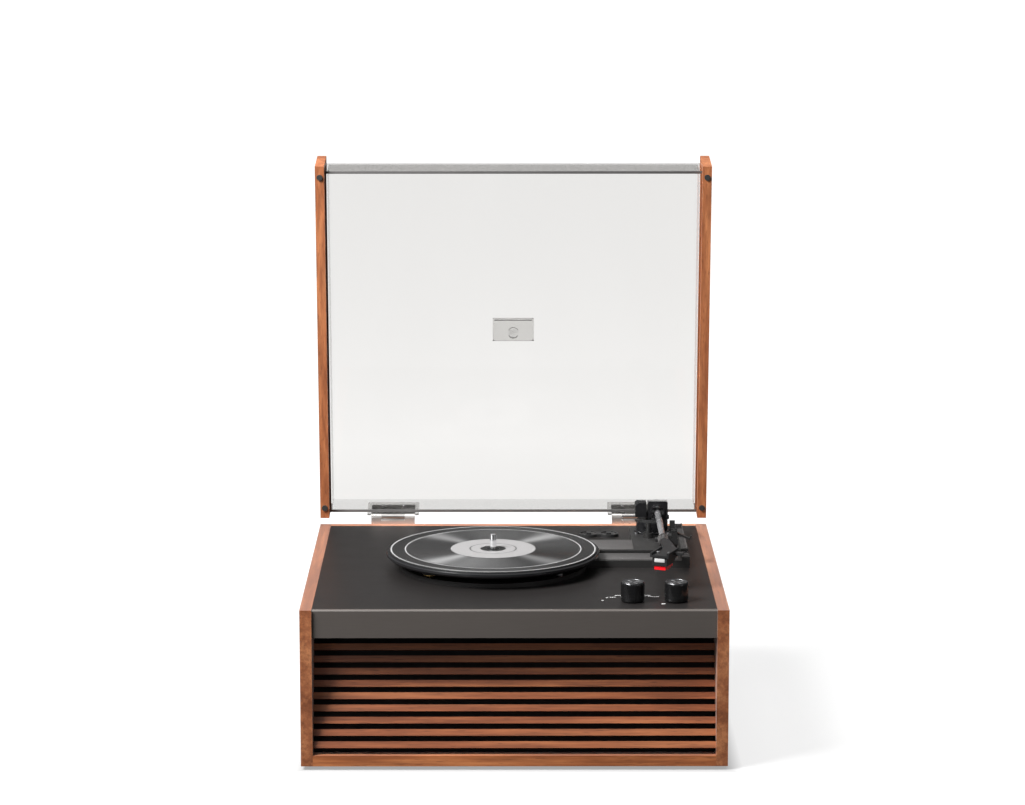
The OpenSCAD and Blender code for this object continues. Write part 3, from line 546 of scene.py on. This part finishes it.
def deck_printing():
    """Generic dashes where the controls' legends are, behind the knob on both sides. They spell nothing."""
    selector, volume = middle("selector_knob"), middle("volume_knob")
    rows = (
        # start to the right of the knob's middle, distance behind it, dash lengths; all in mm
        (-31.4, 3.5, (2.2,)),
        (-26.5, 15.0, (2.4,)),
        (-22.6, 16.6, (1.6, 1.8, 1.6)),
        (-17.2, 24.6, (2.0, 1.6, 1.9)),
        (12.0, 24.6, (2.2, 1.8, 1.9)),
        (16.4, 18.6, (1.5, 1.5, 1.4, 1.5, 1.5, 1.4)),
    )
    marks = Shape()
    for start, back, lengths in rows:
        x = selector.x + start * MM
        for length in lengths:
            at = (x + length * MM / 2, selector.y + back * MM, TOP + 0.03 * MM)
            marks.block(at, (length * MM, 1.8 * MM, 0.06 * MM), edge=0.01 * MM)
            x += (length + 0.5) * MM
    at = (volume.x - 13.6 * MM, volume.y - 11.5 * MM, TOP + 0.03 * MM)
    marks.block(at, (3.6 * MM, 3.0 * MM, 0.06 * MM))
    marks.piece("deck_printing", print_white, "cabinet", "deck_black")


def switch_printing():
    """Rings in the two recesses of the switch plate, and small marks between them."""
    low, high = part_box("switch_plate")
    centre = (low + high) / 2
    rings = Shape()
    for side in (-1, 1):
        for radius, height in ((8.2, 0.5), (6.2, 0.35)):
            rings.disc(
                (centre.x + side * 11 * MM, centre.y, high.z - 1.2 * MM), radius * MM, height * MM,
                hole=(radius - 0.6) * MM,
            )
    rings.piece("switch_rings", strip_grey, "cabinet", "black_plastic")
    marks = Shape()
    for x in (-2.6, 0, 2.6):
        at = (centre.x + x * MM, centre.y - 1.0 * MM, high.z + 0.02 * MM)
        marks.block(at, (1.1 * MM, 2.6 * MM, 0.08 * MM))
    marks.piece("switch_printing", strip_grey, "cabinet", "black_plastic")


# ---- Chassis ----

# Bridge plates, in millimetres: middle behind the front, middle above the deck, depth
REAR_PLATE_MM = (255, 9.75, 46)
FRONT_PLATE_MM = (207, 7.75, 30)
PLATE_START = 0.09  # from the platter's middle to the plates' left ends
RIB_MM = (6.4, 2.2, 1.2)
RIB_PITCH_MM = 6.2
STEP_PITCH_MM = 8


def bridge_strips():
    """Two lighter plates on the bridge, either side of its groove."""
    left = PLATTER.x + PLATE_START
    rear_right = middle("tonearm_pedestal").x - half_size("tonearm_pedestal").x - 6 * MM
    front_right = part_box("mechanism_chassis")[1].x - 12 * MM
    plates = Shape()
    for right, (behind, above, depth) in ((rear_right, REAR_PLATE_MM), (front_right, FRONT_PLATE_MM)):
        centre = ((left + right) / 2, FRONT + behind * MM, TOP + above * MM)
        plates.block(centre, (right - left, depth * MM, 0.6 * MM))
    plates.piece("bridge_strips", strip_grey, "cabinet", "black_plastic")


def edge_ribs():
    """Cross ribs along the raised edge at the right of the chassis."""
    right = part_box("mechanism_chassis")[1].x
    size = Vector(RIB_MM) * MM
    ribs = Shape()
    for i in range(19):
        ribs.block((right - 4 * MM, FRONT + (226 + i * RIB_PITCH_MM) * MM, TOP + 12.9 * MM), size)
    for i in range(3):
        ribs.block((right - 4 * MM, FRONT + (193 + i * STEP_PITCH_MM) * MM, TOP + 11.9 * MM), size)
    ribs.block((right - 1.0 * MM, FRONT + 285 * MM, TOP + 12.9 * MM), (1.2 * MM, 122 * MM, 1.4 * MM))
    ribs.piece("chassis_ribs", strip_grey, "cabinet", "black_plastic")


# ---- Tonearm ----

# The arm's pivot, in millimetres behind the front and above the deck, and the headshell's turn
PIVOT_BEHIND_MM = 322
PIVOT_ABOVE_MM = 32
TUBE_ABOVE_MM = 32.5
HEAD_TURN = about("Z", -22)
# Collar rings before and on the tube's front end: start, length and radius
COLLARS_MM = ((-9, 4, 6.0), (-3, 10, 5.9), (9, 3, 6.3))


def tonearm_trim():
    """Arched frame, pivot caps and the counterweight's ridged ring."""
    yoke_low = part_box("tonearm_yoke")[0]
    tube_low, tube_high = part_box("arm_tube")
    pivot_x = (tube_low.x + tube_high.x) / 2
    pivot_z = TOP + PIVOT_ABOVE_MM * MM
    pivot_y = FRONT + PIVOT_BEHIND_MM * MM
    # Arched frame round the tube's opening, and pivot caps on the block's sides
    arch = Shape()
    arch.spin(
        (pivot_x, yoke_low.y - 0.2 * MM, TOP + 34.7 * MM),
        [(6.4 * MM, 0), (7.8 * MM, 0), (8.0 * MM, 0.3 * MM), (8.0 * MM, 1.2 * MM), (6.4 * MM, 1.2 * MM)],
        about("X", -90), 48,
    )
    for side in (-1, 1):
        turn = about("Y", 90 * side)
        arch.disc((pivot_x + side * 10.7 * MM, pivot_y, pivot_z), 3.2 * MM, 0.7 * MM, turn)
    arch.piece("yoke_trim", gloss_black, "arm_base", "gloss_black")
    # Ridged ring round the counterweight
    low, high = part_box("counterweight")
    ring = Shape()
    for i in range(36):
        turn = about("Y", 10 * i)
        at = turn @ Vector((0, 0, high.x - pivot_x))
        place = (pivot_x + at.x, low.y + 6 * MM, pivot_z + at.z)
        ring.block(place, (0.7 * MM, 10 * MM, 0.8 * MM), turn, edge=0.15 * MM)
    ring.piece("counterweight_ridges", gloss_black, "tonearm", "gloss_black")


def at_tip(x, y, z):
    """A place on the cartridge: x and y in millimetres in its own turned frame, z above the deck."""
    tip = cartridge_tip()
    turned = HEAD_TURN @ Vector((x * MM, y * MM, 0))
    return Vector((tip.x + turned.x, tip.y + turned.y, TOP + z * MM))


def cartridge_tip():
    """The stylus tip: the middle of the stylus's lowest points."""
    points = [v.co for v in nodes["stylus"].data.vertices]
    lowest = min(p.z for p in points)
    tip = [p for p in points if p.z < lowest + 0.05 * MM]
    return sum(tip, Vector()) / len(tip)


def headshell_trim():
    """Blank label, screws, the collar on the tube, and four leads."""
    label = Shape()
    label.block(at_tip(0, -10.05, 33.3), (11 * MM, 0.3 * MM, 4.2 * MM), HEAD_TURN, edge=0.1 * MM)
    label.piece("cartridge_label", label_white, "tonearm", "gloss_black")
    screws = Shape()
    for side in (-1, 1):
        screws.disc(at_tip(side * 6.35, 3, 38.4), 2.1 * MM, 1.2 * MM, HEAD_TURN)
        slot_turn = HEAD_TURN @ about("Z", 35)
        screws.block(at_tip(side * 6.35, 3, 39.65), (3.2 * MM, 0.5 * MM, 0.25 * MM), slot_turn)
    screws.piece("headshell_screws", steel, "tonearm", "steel_plain")
    collar = Shape()
    tube_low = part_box("arm_tube")[0]
    x = middle("arm_tube").x
    for start, length, radius in COLLARS_MM:
        collar.spin(
            (x, tube_low.y + start * MM, TOP + TUBE_ABOVE_MM * MM),
            [(5.45 * MM, 0), (radius * MM, 0), (radius * MM, length * MM), (5.45 * MM, length * MM)],
            about("X", -90), 8,
        )
    collar.piece("headshell_collar", strip_grey, "tonearm", "gloss_black")
    for i, x in enumerate((-5, -1.7, 1.7, 5)):
        points = [
            at_tip(x, 21.5, 30.8), at_tip(x * 0.9, 25, 31),
            at_tip(x * 0.5 + 1, 29, 32), at_tip(x * 0.3 + 3, 33, 32.6),
        ]
        colour = wire_red if i == 0 else rubber
        wire("lead_%d" % (i + 1), points, 0.35 * MM, colour, "tonearm")


def pedestal_trim():
    """Flange with screws at the foot of the pedestal."""
    centre = middle("tonearm_pedestal")
    base = TOP + 9.5 * MM
    flange = Shape()
    flange.disc((centre.x, centre.y, base), 19.2 * MM, 2.2 * MM, steps=72, edge=0.4 * MM, hole=17.0 * MM)
    flange.spin(
        (centre.x, centre.y, TOP + 20.2 * MM),
        [(16.8 * MM, 0), (17.5 * MM, 0.1 * MM), (17.5 * MM, 0.9 * MM), (16.8 * MM, 1.0 * MM)], steps=72,
    )
    flange.piece("pedestal_flange", gloss_black, "cabinet", "black_plastic")
    screws = Shape()
    for angle in (215, 250, 325, 100):
        a = math.radians(angle)
        at = (centre.x + 21.2 * MM * math.cos(a), centre.y + 21.2 * MM * math.sin(a), base)
        screws.disc(at, 2.0 * MM, 1.3 * MM)
    screws.piece("pedestal_screws", steel, "cabinet", "steel_plain")


# ---- Hinges and back ----

LID_TURN = about("X", -84)
# Length of a hinge leaf, and where the screws are on it
LEAF_MM = 48.6
SCREW_OFF_MM = 11.6
SCREW_ABOVE_MM = 17
# Closed-lid distances from the hinge line: the rear wall's inner face and middle, the front wall's middle,
# the leaf's outer face, and the height of the walls' edges
WALL_IN_MM = -7.0
REAR_WALL_MM = -5.5
FRONT_WALL_MM = -393.5
LEAF_OUT_MM = 0.4
EDGE_ABOVE_MM = 4.2


def lid_place(x, behind, above):
    """A place on the open lid, from closed-lid distances behind and above the hinge line (mm)."""
    hinge = middle("hinge_pins")
    turned = LID_TURN @ Vector((0, behind * MM, above * MM))
    return Vector((x, hinge.y + turned.y, hinge.z + turned.z))


def hinge_trim():
    """Screw heads seen through the cover, dark crosses outside, and a lip under each middle knuckle."""
    heads, crosses, lip = Shape(), Shape(), Shape()
    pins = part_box("hinge_pins")
    for side in (-1, 1):
        centre = side * (pins[1].x - LEAF_MM * MM / 2)
        for x in (-SCREW_OFF_MM, SCREW_OFF_MM):
            x = centre + x * MM
            heads.disc(
                lid_place(x, WALL_IN_MM, SCREW_ABOVE_MM), 1.9 * MM, 1.0 * MM, LID_TURN @ about("X", 90)
            )
            for degrees in (20, 110):
                turn = LID_TURN @ about("Y", degrees)
                at = lid_place(x, LEAF_OUT_MM, SCREW_ABOVE_MM)
                crosses.block(at, (2.6 * MM, 0.5 * MM, 0.3 * MM), turn, edge=0.05 * MM)
        lip.block(
            (centre, FRONT + 404.7 * MM, TOP + 2.4 * MM), (25.4 * MM, 1.2 * MM, 4.8 * MM), edge=0.2 * MM
        )
    heads.piece("hinge_screw_heads", chrome, "lid", "steel_plain")
    crosses.piece("hinge_screw_crosses", rubber, "lid", "rubber_black")
    lip.piece("hinge_lips", leaf_metal, "cabinet", "steel_plain")


def lid_edges():
    """Dark grey strips along the cover's rear and front walls, on their ground edges: painted shade, as
    these edges look dark from the front.
    """
    length = 2 * half_size("lid_cover").x - 1 * MM
    edge = Shape()
    for wall in (REAR_WALL_MM, FRONT_WALL_MM):
        edge.block(lid_place(0, wall, EDGE_ABOVE_MM), (length, 3.0 * MM, 0.9 * MM), LID_TURN)
    edge.piece("cover_edge_painted_shade", edge_shade_grey, "lid", "clear_acrylic")


def socket_trim():
    """Coloured rings round the phono sockets and the inlet's centre pin."""
    low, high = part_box("phono_sockets")
    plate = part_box("terminal_plate")[1]
    z = (low.z + high.z) / 2
    reach = 5 * MM
    turn = about("X", -90)
    for name, x, material in (("red", low.x + reach, wire_red), ("white", high.x - reach, label_white)):
        ring = Shape().disc((x, plate.y, z), 6.4 * MM, 1.2 * MM, turn, hole=5.0 * MM)
        ring.piece("socket_ring_" + name, material, "cabinet", "black_plastic")
    inlet = middle("power_inlet")
    pin = Shape().disc((inlet.x, plate.y - 8 * MM, inlet.z), 1.0 * MM, 7.5 * MM, turn, edge=0.3 * MM)
    pin.piece("inlet_pin", steel, "cabinet", "steel_plain")


# ---- Studio ----

# The key light: degrees round to the left of the front, degrees up, distance, watts
KEY_AZIMUTH = 55
KEY_HEIGHT = 48
KEY_REACH = 2.3
KEY_POWER = 130
# The world's brightness seen directly, as a light, and in reflections: low down, and added at the top
BACKDROP = 1.1
AMBIENT = 0.12
SHEEN_LOW = 0.08
SHEEN_TOP = 0.45
TARGET = (0, 0, 0.2)
# Lamps beside the key light: name, place, width, height, watts
FILL_LAMPS = (
    ("overhead", (0, 0.3, 2.2), 1.0, 1.0, 16),
    ("front_strip", (-1.3, -2.4, 0.9), 0.3, 1.6, 5),
    ("right_strip", (1.9, -1.6, 0.8), 0.25, 1.4, 3),
)
# The camera, from the cabinet's front and top
LENS_MM = 118.5
CAMERA_X = -0.0109
CAMERA_AHEAD = 3.292
CAMERA_ABOVE = 0.814
CAMERA_TILT = math.radians(79.64)
CAMERA_TURN = math.radians(-0.155)


def glowing_white():
    """Floor paint that glows: less under and round the cabinet, which paints a contact shadow there, and
    more far away.
    """
    paint = Paint("studio_white", 1.0, Specular_IOR_Level=0.0)
    parts = paint.node("ShaderNodeSeparateXYZ", {0: paint.place})
    x, y = parts.outputs[0], parts.outputs[1]
    side = paint.math("SUBTRACT", paint.math("ABSOLUTE", x), WIDTH / 2)
    ahead = paint.math("SUBTRACT", paint.math("ABSOLUTE", paint.math("SUBTRACT", y, BODY_Y)), BODY_HALF)
    # Painted contact shadow: the glow falls to 0.45 at and under the cabinet's edges
    painted_contact_shadow = paint.remap(paint.math("MAXIMUM", side, ahead), -0.002, 0.016, 0.45, 1.0)
    squares = paint.math("ADD", paint.math("MULTIPLY", x, x), paint.math("MULTIPLY", y, y))
    far = paint.remap(paint.math("SQRT", squares), 0.45, 1.5, 0.80, 1.10)
    paint.feed(paint.shader.inputs["Emission Strength"], paint.math("MULTIPLY", painted_contact_shadow, far))
    paint.shader.inputs["Emission Color"].default_value = (1, 1, 1, 1)
    paint.feed(
        paint.shader.inputs["Base Color"],
        paint.mix(paint.noise(60), (0.198, 0.198, 0.198, 1), (0.204, 0.204, 0.204, 1)),
    )
    return paint.material


def white_floor():
    """Wide white floor. It lights itself, so that shadows on it stay light."""
    mesh = bmesh.new()
    reach = 60.0
    edges = (-reach, -3.0, -1.0, 1.0, 3.0, reach)
    grid = [[mesh.verts.new((x, y, 0.0)) for x in edges] for y in edges]
    for row, above in zip(grid, grid[1:]):
        for i in range(len(edges) - 1):
            mesh.faces.new((row[i], row[i + 1], above[i + 1], above[i]))
    data = bpy.data.meshes.new("white_floor")
    mesh.to_mesh(data)
    mesh.free()
    data.materials.append(glowing_white())
    floor = bpy.data.objects.new("white_floor", data)
    floor.visible_diffuse = False
    floor.visible_glossy = False
    bpy.context.scene.collection.objects.link(floor)


def softbox(name, place, target, width, height, power):
    data = bpy.data.lights.new(name, "AREA")
    data.shape = "RECTANGLE"
    data.size, data.size_y = width, height
    data.energy = power
    lamp = bpy.data.objects.new(name, data)
    lamp.location = place
    lamp.rotation_euler = (Vector(target) - Vector(place)).to_track_quat("-Z", "Y").to_euler()
    bpy.context.scene.collection.objects.link(lamp)


def white_world():
    """White behind the player and through the lid, dim as a light, and darkest low down in reflections."""
    world = bpy.data.worlds.new("studio_world")
    world.use_nodes = True
    tree = world.node_tree
    background = tree.nodes["Background"]
    background.inputs["Color"].default_value = (1, 1, 1, 1)
    path = tree.nodes.new("ShaderNodeLightPath").outputs

    def step(operation, *values):
        made = tree.nodes.new("ShaderNodeMath")
        made.operation = operation
        for socket, value in zip(made.inputs, values):
            if isinstance(value, bpy.types.NodeSocket):
                tree.links.new(value, socket)
            else:
                socket.default_value = value
        return made.outputs[0]

    parts = tree.nodes.new("ShaderNodeSeparateXYZ")
    tree.links.new(tree.nodes.new("ShaderNodeTexCoord").outputs["Generated"], parts.inputs[0])
    sheen = step("MULTIPLY_ADD", step("MAXIMUM", parts.outputs[2], 0.0), SHEEN_TOP, SHEEN_LOW)
    mirrored = step("MINIMUM", path["Glossy Depth"], 1.0)
    indirect = step("MULTIPLY_ADD", step("SUBTRACT", sheen, AMBIENT), mirrored, AMBIENT)
    seen = step("LESS_THAN", step("SUBTRACT", path["Ray Depth"], path["Transmission Depth"]), 0.5)
    total = step("MULTIPLY_ADD", step("SUBTRACT", BACKDROP, indirect), seen, indirect)
    tree.links.new(total, background.inputs["Strength"])
    bpy.context.scene.world = world


def studio():
    bpy.context.scene.view_settings.view_transform = "Standard"
    white_world()
    white_floor()
    azimuth, height = math.radians(KEY_AZIMUTH), math.radians(KEY_HEIGHT)
    level = math.cos(height)
    towards = Vector((-math.sin(azimuth) * level, -math.cos(azimuth) * level, math.sin(height)))
    target = Vector((0, 0, 0.12))
    softbox("key_light", target + KEY_REACH * towards, target, 0.9, 0.9, KEY_POWER)
    for name, place, width, height, power in FILL_LAMPS:
        softbox(name, place, TARGET, width, height, power)


def camera():
    data = bpy.data.cameras.new("camera")
    data.sensor_width = 36
    data.lens = LENS_MM
    data.clip_start, data.clip_end = 0.1, 60
    made = bpy.data.objects.new("camera", data)
    made.location = (CAMERA_X, FRONT - CAMERA_AHEAD, TOP + CAMERA_ABOVE)
    made.rotation_euler = (CAMERA_TILT, 0, CAMERA_TURN)
    bpy.context.scene.collection.objects.link(made)
    bpy.context.scene.camera = made


finish_nodes()
slip_mat()
spindle_base()
knob_trim("selector_knob", "selector", selector_cap)
knob_trim("volume_knob", "volume", volume_cap)
deck_printing()
switch_printing()
bridge_strips()
edge_ribs()
tonearm_trim()
headshell_trim()
pedestal_trim()
hinge_trim()
lid_edges()
socket_trim()
studio()
camera()

clear_nodes_cast_no_shadow()
